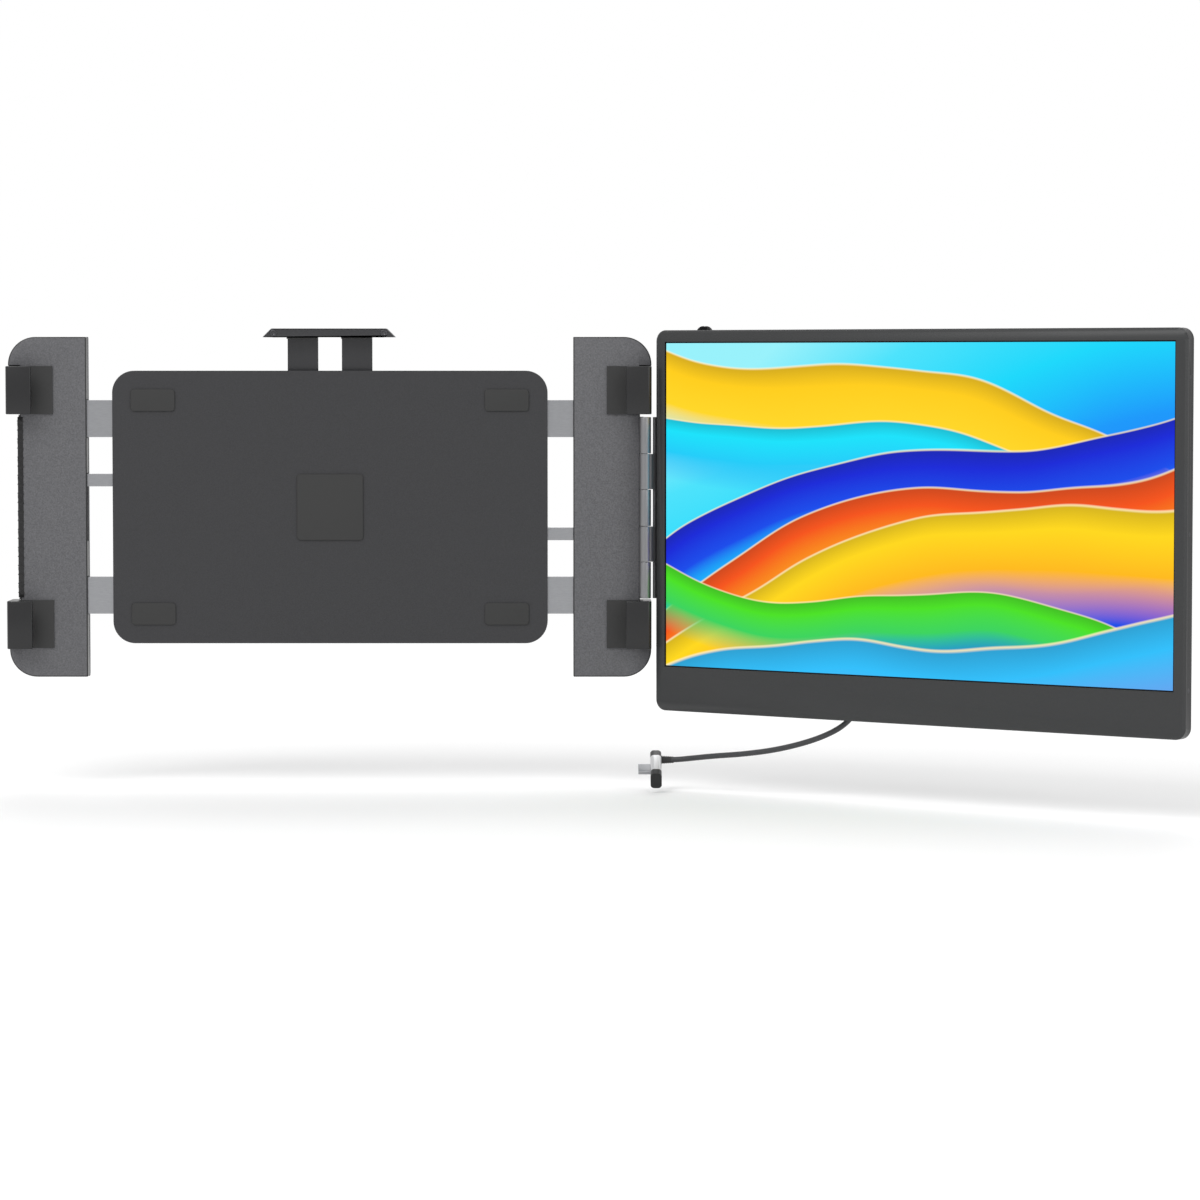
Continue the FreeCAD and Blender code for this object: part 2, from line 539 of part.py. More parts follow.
def screen():
    """Flat screen: bezel, panel, light, tray, boards, sockets and the rear cover."""
    jog_x, jog_z = "screen_gap + jog_from_edge", HIGH + " + jog_proud - jog_radius"
    jog_y = "screen_front + jog_front"
    slot = block(
        (jog_x + " - jog_radius - 0.5", jog_x + " + jog_radius + 0.5"),
        (jog_y + " - 0.55", jog_y + " + jog_thick + 0.55"),
        (jog_z + " - jog_radius - 4.5", HIGH + " + 1"),
    )
    rim = lambda p: abs(p.y - val("screen_front")) < 0.01 and p.z > val("screen_bottom") + val("screen_tall") - 1
    face = plate((LEFT, RIGHT), (LOW, HIGH), (FRONT, SPLIT), "screen_corner")
    face = ease(face, "front_chamfer", "x", rim, "Part::Chamfer")
    room = plate(
        grown((LEFT, RIGHT), "-skin"), grown((LOW, HIGH), "-skin"), (behind(FRONT, "skin"), SPLIT + " + 1"), "screen_corner",
    )
    window = block(grown(PANEL_X, "window_rim"), (FRONT + " - 1", SPLIT), grown(PANEL_Z, "window_rim"))
    marks = []
    marks_cut = []
    for z in ("screen_bottom + screen_tall*0.12", "screen_bottom + screen_tall/2", "screen_bottom + screen_tall*0.88"):
        spot = (RIGHT + " - skin", "screen_front + bezel_deep/2 + 1", z)
        marks.append(peg("shank", "skin", spot, "x"))
        marks_cut.append(peg("shank + fit", "skin + 1", spot, "x"))
    on_screen("screen_bezel", cut(face, room, window, slot, *marks_cut))
    on_screen("side_screws", *marks)

    glass = (behind(FRONT, "skin - panel_thick"), behind(FRONT, "skin"))
    on_screen("lcd_panel", block(grown(PANEL_X, "window_rim"), glass, grown(PANEL_Z, "window_rim")))
    light = (glass[1], glass[1] + " + light_thick")
    on_screen("backlight_plate", block(grown(PANEL_X, "light_margin"), light, grown(PANEL_Z, "light_margin")))
    tray = (light[1], light[1] + " + tray_thick")
    on_screen("panel_tray", block(grown(PANEL_X, "light_margin"), tray, grown(PANEL_Z, "light_margin")))
    board = (tray[1] + " + board_gap", tray[1] + " + board_gap + board_thick")
    port = "screen_gap + port_from_edge"
    on_screen("main_board", block((port + " - 40", port + " + 55"), board, ("port_low + 2", "port_low + 60")))
    chips = [
        block((port + " + %d" % x, port + " + %d" % (x + wide)), (board[1], board[1] + " + 1"),
              ("port_low + %d" % z, "port_low + %d" % (z + wide)))
        for x, z, wide in ((-30, 14, 14), (-8, 30, 9), (14, 16, 18), (38, 36, 8))
    ]
    on_screen("board_chips", *chips)
    on_screen("driver_strip", block(grown(PANEL_X, "-40"), (glass[1], board[1]), ("screen_bottom + 4", "screen_bottom + 14")))
    speaker_z = ("screen_bottom + 4", "screen_bottom + 18")
    on_screen("speakers", *[
        block((x, x + " + 32"), (glass[1], SPLIT), speaker_z) for x in (LEFT + " + 6", RIGHT + " - 38")
    ])

    shell = plate((LEFT, RIGHT), (LOW, HIGH), (SPLIT, BACK), "screen_corner")
    shell = ease(
        shell, "front_chamfer", "x",
        lambda p: abs(p.y - val("screen_front") - val("screen_thick")) < 0.01 and p.z > val("screen_tall") / 3,
        "Part::Chamfer",
    )
    bed = plate(
        grown((LEFT, RIGHT), "-skin"), grown((LOW, HIGH), "-skin"), (SPLIT + " - 1", BACK + " - back_skin"), "screen_corner",
    )
    deep = (BACK + " - 0.5", BACK + " + port_deep")
    profile = [
        (BACK + " - 0.5", "port_low"), (deep[1], "port_low"), (deep[1], "port_high - port_deep*2"), (BACK + " - 0.5", "port_high"),
    ]
    box_x = (port + " - 16", port + " - 16 + port_wide")
    housing = prism("x", profile, box_x[0], "port_wide")
    housing = ease(housing, "clip_round", "z", lambda p: abs(p.y - val("screen_front") - val("screen_thick")) > 1)
    middle = BACK + " + port_deep/2"
    sockets, mouths = [], []
    for number, (wide, name) in enumerate((("4.6", "a"), ("4.6", "b"), ("5.8", "c"))):
        centre = "%s + %d*port_pitch" % (port, number)
        x = ("%s - %s" % (centre, wide), "%s + %s" % (centre, wide))
        outer = block(x, (middle + " - 1.7", middle + " + 1.7"), ("port_low", "port_low + 8"))
        inner = block(grown(x, "-0.3"), (middle + " - 1.35", middle + " + 1.35"), ("port_low - 1", "port_low + 7"))
        sockets.append(cut(outer, inner))
        mouths.append(block(x, (middle + " - 1.7", middle + " + 1.7"), ("port_low - 1", "port_low + 8")))
    on_screen("video_sockets", *sockets)
    vents = [
        block((port + " + %d" % (60 + 7 * number), port + " + %d" % (63 + 7 * number)), (SPLIT, BACK + " + 1"),
              ("port_low + 4", "port_low + 34"))
        for number in range(12)
    ]
    on_screen("screen_rear_cover", cut(fuse(cut(shell, bed), housing), slot, *mouths, *vents))

    wheel = cut(
        rod("jog_radius", "jog_thick", (jog_x, jog_y, jog_z)), rod("jog_pin + fit", "jog_thick", (jog_x, jog_y, jog_z)),
    )
    on_screen("jog_wheel", wheel)
    shaft = rod("jog_pin", "jog_thick + 0.7", (jog_x, jog_y + " - 0.35", jog_z))
    arm_y = (jog_y + " + jog_thick + 0.1", jog_y + " + jog_thick + 0.35")
    arm = block((jog_x + " - 1.4", jog_x + " + 1.4"), arm_y, (jog_z + " - jog_radius - 1.6", jog_z + " + 1.4"))
    foot = block(
        (jog_x + " - 2", jog_x + " + 2"), (jog_y, arm_y[1]),
        (jog_z + " - jog_radius - 1.6", jog_z + " - jog_radius - 0.5"),
    )
    on_screen("jog_stem", fuse(shaft, arm, foot))
    on_screen("jog_switch", block(
        (jog_x + " - 3", jog_x + " + 3"), (jog_y, jog_y + " + jog_thick + 0.5"),
        (jog_z + " - jog_radius - 4.5", jog_z + " - jog_radius - 1.6 - jog_press - 0.1"),
    ))

    plug_x = (port + " - plug_wide/2", port + " + plug_wide/2")
    plug_y = (middle + " - plug_thick/2", middle + " + plug_thick/2")
    body = block(plug_x, plug_y, ("port_low - plug_long", "port_low"))
    body = ease(body, "plug_round", "z", lambda p: True)
    tip = block((port + " - 4.2", port + " + 4.2"), (middle + " - 1.25", middle + " + 1.25"), ("port_low - 1", "port_low + 6"))
    on_screen("port_plug", fuse(body, tip))
    relief = rod("relief_radius", "relief_long", (port, middle, "port_low - plug_long - relief_long"), "z")
    on_screen("port_plug_relief", relief)


def on_deck(label, *pieces):
    """Pieces drawn along Y from the elbow plug's cable end, tipped down with the deck."""
    tipped = group(*pieces)
    tipped.Placement.Rotation = FreeCAD.Rotation(V(1, 0, 0), val("deck_slope"))
    bind(tipped, "Placement.Rotation.Angle", "deck_slope")
    return keep(shift(tipped, "elbow_x", "elbow_y", "elbow_z"), label)


def elbow_plug():
    """The side plug at the cable's far end; its tip points left."""
    x, z = both("elbow_wide/2"), both("elbow_tall/2")
    start, band = "neck_long/2", "neck_long/2 - elbow_long"
    neck = ease(block(x, ("-" + start, start), z), "plug_round", "y", lambda p: True)
    on_deck("elbow_neck", neck)
    on_deck("elbow_shell", ease(block(x, (band + " + band_long", "-" + start), z), "plug_round", "y", lambda p: True))
    on_deck("elbow_band", ease(block(x, (band, band + " + band_long"), z), "plug_round", "y", lambda p: True))
    middle = "(%s + band_long - %s)/2" % (band, start)
    tip = block(("-elbow_wide/2 - 6.5", "-elbow_wide/2"), (middle + " - 4.2", middle + " + 4.2"), both("1.25"))
    on_deck("elbow_tip", ease(tip, "tip_round", "x", lambda p: True))


CABLE_SIDES = 10

# The cable's route, from the plug in the screen's port to the elbow plug.
CABLE = [
    (284.4, -71.9, -89.0), (284.4, -71.9, -96.5), (282.0, -70.5, -104.5), (277.2, -67.8, -111.5),
    (269.5, -63.6, -117.2), (257.0, -57.2, -122.8), (240.0, -48.6, -127.8), (223.0, -39.6, -130.8),
    (208.0, -30.4, -132.6), (195.5, -22.4, -134.6), (187.4, -18.4, -135.8), (179.6, -18.4, -135.8),
]


def cable():
    """Straight runs joined by arcs as large as the runs allow."""
    stops = [V(*point) for point in CABLE]
    edges, start = [], stops[0]
    for before, here, after in zip(stops, stops[1:], stops[2:]):
        into, out = (here - before), (after - here)
        turn = into.getAngle(out)
        reach = 0.45 * min(into.Length, out.Length)
        print("cable radius %.1f" % (reach / math.tan(turn / 2)))
        first = here - into / into.Length * reach
        last = here + out / out.Length * reach
        bow = (first + last) / 2 - here
        radius = reach / math.tan(turn / 2)
        crown = here + bow / bow.Length * (math.hypot(radius, reach) - radius)
        edges += [Part.LineSegment(start, first).toShape(), Part.Arc(first, crown, last).toShape()]
        start = last
    edges.append(Part.LineSegment(start, stops[-1]).toShape())
    route = Part.Wire(edges)
    start_turn = FreeCAD.Rotation(V(0, 0, 1), stops[1] - stops[0])
    steps = [2 * math.pi * number / CABLE_SIDES for number in range(CABLE_SIDES)]
    rim = [stops[0] + start_turn.multVec(V(math.cos(step), math.sin(step), 0) * val("cable_radius")) for step in steps]
    ring = Part.makePolygon(rim + rim[:1])
    tube = route.makePipeShell([ring], True, False)
    section = CABLE_SIDES / 2 * math.sin(2 * math.pi / CABLE_SIDES) * val("cable_radius") ** 2
    expected = section * route.Length
    print("cable volume %.1f, section times length %.1f" % (tube.Volume, expected))
    run = doc.addObject("Part::Feature", "Cable")
    run.Shape = tube
    keep(run, "usb_cable")


housing()
pinion()
rack()
wing()
edge_ribs()
top_hook()
side_hinge()
screen_hinge()
screen()
elbow_plug()
cable()

doc.recompute()
for thing in doc.Objects:
    if "Invalid" in thing.State or "Error" in thing.State:
        raise RuntimeError("%s (%s) failed: %s" % (thing.Name, thing.Label, thing.State))
for piece in nodes:
    if piece.Shape.isNull() or not piece.Shape.isValid():
        raise RuntimeError("%s has no valid shape" % piece.Label)
os.makedirs("parts", exist_ok=True)
for piece in nodes:
    piece.Shape.exportStep("parts/%s.step" % piece.Label)
    box = piece.Shape.BoundBox
    print("%-18s %2d solids %9.1f mm3" % (piece.Label, len(piece.Shape.Solids), piece.Shape.Volume))
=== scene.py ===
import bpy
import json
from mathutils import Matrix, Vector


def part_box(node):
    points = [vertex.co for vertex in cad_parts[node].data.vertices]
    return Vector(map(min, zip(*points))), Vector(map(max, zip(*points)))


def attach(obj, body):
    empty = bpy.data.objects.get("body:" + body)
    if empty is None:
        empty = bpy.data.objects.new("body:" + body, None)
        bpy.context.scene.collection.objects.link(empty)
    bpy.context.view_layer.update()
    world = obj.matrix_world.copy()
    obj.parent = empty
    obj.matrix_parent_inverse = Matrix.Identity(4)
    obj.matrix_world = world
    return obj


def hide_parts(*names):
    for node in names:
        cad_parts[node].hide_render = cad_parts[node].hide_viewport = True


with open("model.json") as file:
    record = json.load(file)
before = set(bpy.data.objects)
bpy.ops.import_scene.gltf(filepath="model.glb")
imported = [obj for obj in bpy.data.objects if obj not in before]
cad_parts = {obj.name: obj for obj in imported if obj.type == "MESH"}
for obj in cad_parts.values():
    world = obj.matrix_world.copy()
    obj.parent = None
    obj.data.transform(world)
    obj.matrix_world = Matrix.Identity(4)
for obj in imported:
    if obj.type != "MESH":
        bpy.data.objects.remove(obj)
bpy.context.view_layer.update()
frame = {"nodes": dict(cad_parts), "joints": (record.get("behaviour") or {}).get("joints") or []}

import json
import math

import bmesh
import bpy
from mathutils import Vector

bl_info = {
    "name": "Screen extender finish",
    "version": (1, 0, 0),
    "blender": (4, 5, 0),
    "location": "View3D > Sidebar > Extender",
    "description": "Dresses the clip-on screen bracket, its screen and its cable",
    "category": "Object",
}

NODES = frame["nodes"]
JOINTS = {joint["name"]: joint for joint in frame["joints"]}
ROLL_AXIS = Vector(JOINTS["jog_roll"]["axis"]).normalized()
SCREEN_TURN = math.atan2(ROLL_AXIS.x, ROLL_AXIS.y)
MM = 0.001

SHADE_ANGLE = 35
RIM_ANGLE = 50
MERGE_WITHIN = 0.00001
FLAT_WITHIN = 0.5

# The camera stands where the photograph was taken from.
CAMERA_PLACE = (0.1465, -2.333, 0.078)
CAMERA_TILT = 86.85
CAMERA_LENS = 129.03
CAMERA_SENSOR = 36
FLOOR_SIZE = 30
FADE_START = 0.45
# The surroundings' strength as light, and as the camera sees them.
WORLD_STRENGTHS = (0.75, 1.0)
LAMP_AIM = Vector((0.12, -0.05, 0))
# Each lamp: name, place, size, share of the lamp power.
LAMPS = (
    ("key_lamp", (-0.9, -1.6, 1.7), 1.4, 1.0),
    ("fill_lamp", (1.5, -1.3, 0.8), 1.6, 0.4),
    ("rear_lamp", (0.2, 1.5, 1.4), 1.5, 0.5),
)

FINE_GRAIN = 2500.0
DRIFT = 25.0
GRAIN_DEPTH = 0.0001
DULL_SPREAD = (-0.06, 0.08)
BRUSH_SCALE = 400.0
BRUSH_BUMP = 0.05
BRUSH_DEPTH = 0.00005

# Half the picture's width and height, and the half sizes within which it is lit, in metres.
PICTURE_HALF = (0.155, 0.087)
LIT_HALF = (0.15465, 0.08695)
RIPPLE_SCALE = 8.0
RIPPLE_HEIGHT = 0.34
LINE_BLUR = 0.006
BAND_FADE = 0.55
CREST_SHADE = 0.84
PICTURE_BLACK = (0.004, 0.004, 0.005, 1)
UNLIT = (0.0, 0.0, 0.0, 1.0)
SKY_WAVE = (0.0, 0.35, 1.6, 0.4, 0.5)
SKY = [
    (0.0, (0, 70, 230)), (0.42, (0, 150, 250)), (0.6, (0, 215, 250)), (0.8, (70, 225, 250)),
    (1.0, (150, 240, 250)),
]
# Each wave: level, swell, pace, start, slope, depth of the band, colour at its crest, colour below.
WAVES = [
    (0.70, 0.20, 2.3, 0.8, -0.50, 0.60, (255, 205, 0), (255, 225, 40)),
    (0.34, 0.22, 2.1, 1.0, -0.42, 0.42, (0, 225, 250), (30, 170, 245)),
    (0.22, 0.30, 2.0, 2.6, 0.62, 0.50, (0, 30, 215), (0, 100, 255)),
    (-0.06, 0.26, 2.4, 2.2, 0.55, 0.62, (245, 80, 0), (255, 200, 0)),
    (-0.30, 0.24, 2.1, 1.4, 0.40, 0.70, (255, 215, 0), (255, 130, 0)),
    (-0.58, 0.20, 2.8, 0.2, -0.30, 0.40, (70, 225, 20), (0, 190, 130)),
    (-0.80, 0.16, 1.9, 3.4, 0.35, 0.90, (40, 190, 250), (150, 80, 215)),
]

# A wing's front shell gets painted shade, black, where its normal leans further than this from the
# front's.
WING_SHADE_FACING = 0.97
# The screen's bezel gets painted shade, black, where its normal's share along the screen's normal is
# below this.
SCREEN_SHADE_FACING = 0.5
GRIP_WIDE = 3.0 * MM
GRIP_PROUD = 0.5 * MM
GRIP_SLANT = 38
SCREW_RADIUS = 2.4 * MM
SCREW_TALL = 1.4 * MM
WHEEL_RADIUS = 4.7 * MM
WHEEL_THICK = 2.3 * MM
RIDGE_INSET = 0.00008
WHEEL_INSET = 0.0012
WHEEL_DEPTH = 0.0003
# A strain relief: its core's ends over its own, and each rib's taper, depth and place over the pitch.
CORE_ENDS = (0.84, 0.96)
RIB_TAPER, RIB_DEPTH, RIB_START = 0.6, 0.6, 0.3
SLEEVE_END = 0.57
# The curve cuts the corners of its control points, so it is shorter than the runs between them.
# The cable's control points, in metres, from the screen's port to the elbow plug.
CABLE = [
    (0.2844, -0.0719, -0.0890), (0.2844, -0.0719, -0.0965), (0.2820, -0.0705, -0.1045),
    (0.2772, -0.0678, -0.1115), (0.2695, -0.0636, -0.1172), (0.2570, -0.0572, -0.1228),
    (0.2400, -0.0486, -0.1278), (0.2230, -0.0396, -0.1308), (0.2080, -0.0304, -0.1326),
    (0.1955, -0.0224, -0.1346), (0.1874, -0.0184, -0.1358), (0.1796, -0.0184, -0.1358),
]

# Mouldings whose edges are rounded: node, body, share of the edge rounding.
ROUNDED = (
    ("top_hook", "top_hook", 1), ("silicone_pads", "housing", 1), ("hook_pads", "top_hook", 1),
    ("kickstand_feet", "kickstand", 1), ("right_channel_clips", "right_wing", 1),
    ("left_channel_clips", "left_wing", 1), ("hinge_wing_leaf", "right_wing", 0.5),
)
# Nodes with a screw at each corner of their box: node, body.
CORNER_SCREWS = (
    ("cover_screws", "housing"), ("right_wing_screws", "right_wing"), ("left_wing_screws", "left_wing"),
)

# Which nodes wear which finish.
WEARS = {
    "housing_grain": ("front_tray", "rear_cover", "screw_posts", "top_hook", "kickstand", "jog_switch"),
    "wing_grain": ("right_wing_front", "left_wing_front", "right_wing_back", "left_wing_back"),
    "clip_satin": ("right_channel_clips", "left_channel_clips", "port_plug", "jog_wheel"),
    "bezel_satin": ("screen_bezel", "speakers"),
    "rear_black_and_side_shade": ("screen_rear_cover",),
    "black_rib_and_rim_shade": ("left_edge_ribs", "board_chips", "elbow_neck", "elbow_band"),
    "silicone": (
        "silicone_pads", "kickstand_feet", "right_clip_grips", "left_clip_grips", "hook_pads",
        "port_plug_relief",
    ),
    "cable_jacket": ("usb_cable",),
    "silver_shell": ("elbow_shell",),
    "satin_alloy": ("hinge_wing_leaf", "hinge_screen_leaf"),
    "bright_steel": (
        "right_wing_rails", "left_wing_rails", "panel_tray", "right_rack", "left_rack", "pinion_pin",
        "hinge_pin", "kickstand_pin", "video_sockets", "elbow_tip",
    ),
    "dark_screw": (
        "cover_screws", "right_wing_screws", "left_wing_screws", "hook_screws", "hinge_wing_screws",
        "hinge_screen_screws", "side_screws", "jog_stem",
    ),
    "pale_acetal": ("rail_guides", "pinion_gear"),
    "light_guide": ("backlight_plate",),
    "solder_mask": ("main_board", "driver_strip"),
    "lit_picture": ("lcd_panel",),
}
LOOKS = {node: name for name, nodes in WEARS.items() for node in nodes}


def linear(*channels):
    """Display colour, 0 to 255, as scene-linear RGBA."""
    return tuple(
        (c / 255 / 12.92) if c <= 10 else ((c / 255 + 0.055) / 1.055) ** 2.4 for c in channels
    ) + (1.0,)


def clear_selection():
    if bpy.context.object and bpy.context.object.mode != "OBJECT":
        bpy.ops.object.mode_set(mode="OBJECT")
    bpy.ops.object.select_all(action="DESELECT")


def pick(piece):
    """Select one piece alone and make it the active one."""
    clear_selection()
    piece.select_set(True)
    bpy.context.view_layer.objects.active = piece


def settle(piece, name):
    """Apply the piece's place to its mesh and name it."""
    pick(piece)
    bpy.ops.object.transform_apply(location=True, rotation=True, scale=True)
    piece.name = name
    piece.data.name = name
    return piece


def apply_modifiers(piece):
    pick(piece)
    for modifier in list(piece.modifiers):
        bpy.ops.object.modifier_apply(modifier=modifier.name)


def bevel(piece, width, segments=3, angle=SHADE_ANGLE):
    change = piece.modifiers.new("Rounding", "BEVEL")
    change.width = width
    change.segments = segments
    change.limit_method = "ANGLE"
    change.angle_limit = math.radians(angle)
    apply_modifiers(piece)


def select_faces(piece, test):
    """Select in edit mode the faces whose middle and normal pass the test."""
    bpy.context.view_layer.objects.active = piece
    bpy.ops.object.mode_set(mode="EDIT")
    bpy.ops.mesh.select_mode(type="FACE")
    bpy.ops.mesh.select_all(action="DESELECT")
    mesh = bmesh.from_edit_mesh(piece.data)
    for face in mesh.faces:
        face.select_set(test(face.calc_center_median(), face.normal))
    mesh.select_flush_mode()
    bmesh.update_edit_mesh(piece.data)


def join(pieces, name):
    clear_selection()
    for piece in pieces:
        piece.select_set(True)
    bpy.context.view_layer.objects.active = pieces[0]
    bpy.ops.object.join()
    return settle(pieces[0], name)


def smooth(piece, angle=SHADE_ANGLE):
    pick(piece)
    bpy.ops.object.shade_smooth_by_angle(angle=math.radians(angle))


def turned(piece, axis):
    """Turn a piece from its own Z to the axis."""
    piece.rotation_euler = Vector(axis).to_track_quat("Z", "Y").to_euler()


def copy_of_node(name, label):
    """A merged copy of a node's mesh, ready for shaping."""
    piece = bpy.data.objects.new(label, NODES[name].data.copy())
    bpy.context.scene.collection.objects.link(piece)
    pick(piece)
    bpy.ops.object.mode_set(mode="EDIT")
    bpy.ops.mesh.select_all(action="SELECT")
    bpy.ops.mesh.remove_doubles(threshold=MERGE_WITHIN)
    bpy.ops.mesh.dissolve_limited(angle_limit=math.radians(FLAT_WITHIN))
    bpy.ops.object.mode_set(mode="OBJECT")
    return piece


def feed(tree, socket, value):
    """Give a socket a value, or link another node's output to it."""
    if isinstance(value, bpy.types.NodeSocket):
        tree.links.new(value, socket)
    else:
        socket.default_value = value


def calculate(tree, kind, *values):
    """A math node's result; each value is a number or another node's output."""
    node = tree.nodes.new("ShaderNodeMath")
    node.operation = kind
    for socket, value in zip(node.inputs, values):
        feed(tree, socket, value)
    return node.outputs[0]


def map_range(tree, value, source=(0.0, 1.0), target=(0.0, 1.0), kind="LINEAR"):
    """Map a value from one span onto another, held at its ends."""
    node = tree.nodes.new("ShaderNodeMapRange")
    node.interpolation_type = kind
    for label, level in zip(("From Min", "From Max", "To Min", "To Max"), (*source, *target)):
        node.inputs[label].default_value = level
    tree.links.new(value, node.inputs["Value"])
    return node.outputs["Result"]


def mixed_colour(tree, factor, first, second):
    """Mix two colours, each a value or another node's output."""
    mix = tree.nodes.new("ShaderNodeMix")
    mix.data_type = "RGBA"
    named = {socket.identifier: socket for socket in mix.inputs}
    feed(tree, named["Factor_Float"], factor)
    feed(tree, named["A_Color"], first)
    feed(tree, named["B_Color"], second)
    return [socket for socket in mix.outputs if socket.identifier == "Result_Color"][0]


def ramp(tree, factor, stops):
    """A colour ramp; each stop is a spot and a display colour."""
    node = tree.nodes.new("ShaderNodeValToRGB")
    tree.links.new(factor, node.inputs["Fac"])
    while len(node.color_ramp.elements) < len(stops):
        node.color_ramp.elements.new(0.5)
    for element, (spot, colour) in zip(node.color_ramp.elements, stops):
        element.position = spot
        element.color = linear(*colour)
    return node.outputs["Color"]


def own_place(tree):
    """The piece's own coordinates."""
    return tree.nodes.new("ShaderNodeTexCoord").outputs["Object"]


def add_bump(tree, shader, height, strength, depth):
    node = tree.nodes.new("ShaderNodeBump")
    node.inputs["Strength"].default_value = strength
    node.inputs["Distance"].default_value = depth
    tree.links.new(height, node.inputs["Height"])
    tree.links.new(node.outputs["Normal"], shader.inputs["Normal"])


def grain_group():
    """Moulded grain: a height, a mask of slow drift that dulls in patches, and a fine speck."""
    if "moulded_grain" in bpy.data.node_groups:
        return bpy.data.node_groups["moulded_grain"]
    group = bpy.data.node_groups.new("moulded_grain", "ShaderNodeTree")
    for label, default in (("Grain", FINE_GRAIN), ("Drift", DRIFT)):
        socket = group.interface.new_socket(name=label, in_out="INPUT", socket_type="NodeSocketFloat")
        socket.default_value = default
    for label in ("Height", "Mask", "Speck"):
        group.interface.new_socket(name=label, in_out="OUTPUT", socket_type="NodeSocketFloat")
    add, link = group.nodes.new, group.links.new
    given, out = add("NodeGroupInput"), add("NodeGroupOutput")
    place = own_place(group)
    fine, slow = add("ShaderNodeTexNoise"), add("ShaderNodeTexNoise")
    cells = add("ShaderNodeTexVoronoi")
    fine.inputs["Detail"].default_value = 2.0
    slow.inputs["Detail"].default_value = 4.0
    for texture, socket in ((fine, "Grain"), (cells, "Grain"), (slow, "Drift")):
        link(place, texture.inputs["Vector"])
        link(given.outputs[socket], texture.inputs["Scale"])
    height = calculate(group, "MULTIPLY", fine.outputs["Fac"], cells.outputs["Distance"])
    link(height, out.inputs["Height"])
    link(slow.outputs["Fac"], out.inputs["Mask"])
    link(fine.outputs["Fac"], out.inputs["Speck"])
    return group


def principled(name):
    material = bpy.data.materials.new(name)
    material.use_nodes = True
    return material, material.node_tree, material.node_tree.nodes["Principled BSDF"]


def grained(name, dark, pale, rough, bump, grain=FINE_GRAIN, metal=0.0):
    """A finish with moulded grain: two near colours, a spread of roughness and a bump."""
    material, tree, shader = principled(name)
    group = tree.nodes.new("ShaderNodeGroup")
    group.node_tree = grain_group()
    group.inputs["Grain"].default_value = grain
    feed(tree, shader.inputs["Base Color"], mixed_colour(tree, group.outputs["Speck"], dark, pale))
    spread = map_range(tree, group.outputs["Mask"], target=[rough + step for step in DULL_SPREAD])
    feed(tree, shader.inputs["Roughness"], spread)
    add_bump(tree, shader, group.outputs["Height"], bump, GRAIN_DEPTH)
    shader.inputs["Metallic"].default_value = metal
    return material


def brushed(name, dark, pale, rough, stretch=(1, 1, 40)):
    """Metal drawn along one direction."""
    material, tree, shader = principled(name)
    mapping = tree.nodes.new("ShaderNodeMapping")
    mapping.inputs["Scale"].default_value = stretch
    noise = tree.nodes.new("ShaderNodeTexNoise")
    noise.inputs["Scale"].default_value = BRUSH_SCALE
    feed(tree, mapping.inputs["Vector"], own_place(tree))
    feed(tree, noise.inputs["Vector"], mapping.outputs["Vector"])
    feed(tree, shader.inputs["Base Color"], mixed_colour(tree, noise.outputs["Fac"], dark, pale))
    add_bump(tree, shader, noise.outputs["Fac"], BRUSH_BUMP, BRUSH_DEPTH)
    shader.inputs["Metallic"].default_value = 1.0
    shader.inputs["Roughness"].default_value = rough
    return material


def screen_place(tree):
    """The piece's own coordinates turned square to the screen and centred on its picture."""
    low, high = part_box("lcd_panel")
    move = tree.nodes.new("ShaderNodeMapping")
    move.inputs["Location"].default_value = -(Vector(low) + Vector(high)) / 2
    turn = tree.nodes.new("ShaderNodeMapping")
    turn.inputs["Rotation"].default_value = (0, 0, SCREEN_TURN)
    feed(tree, move.inputs["Vector"], own_place(tree))
    feed(tree, turn.inputs["Vector"], move.outputs["Vector"])
    return turn.outputs["Vector"]


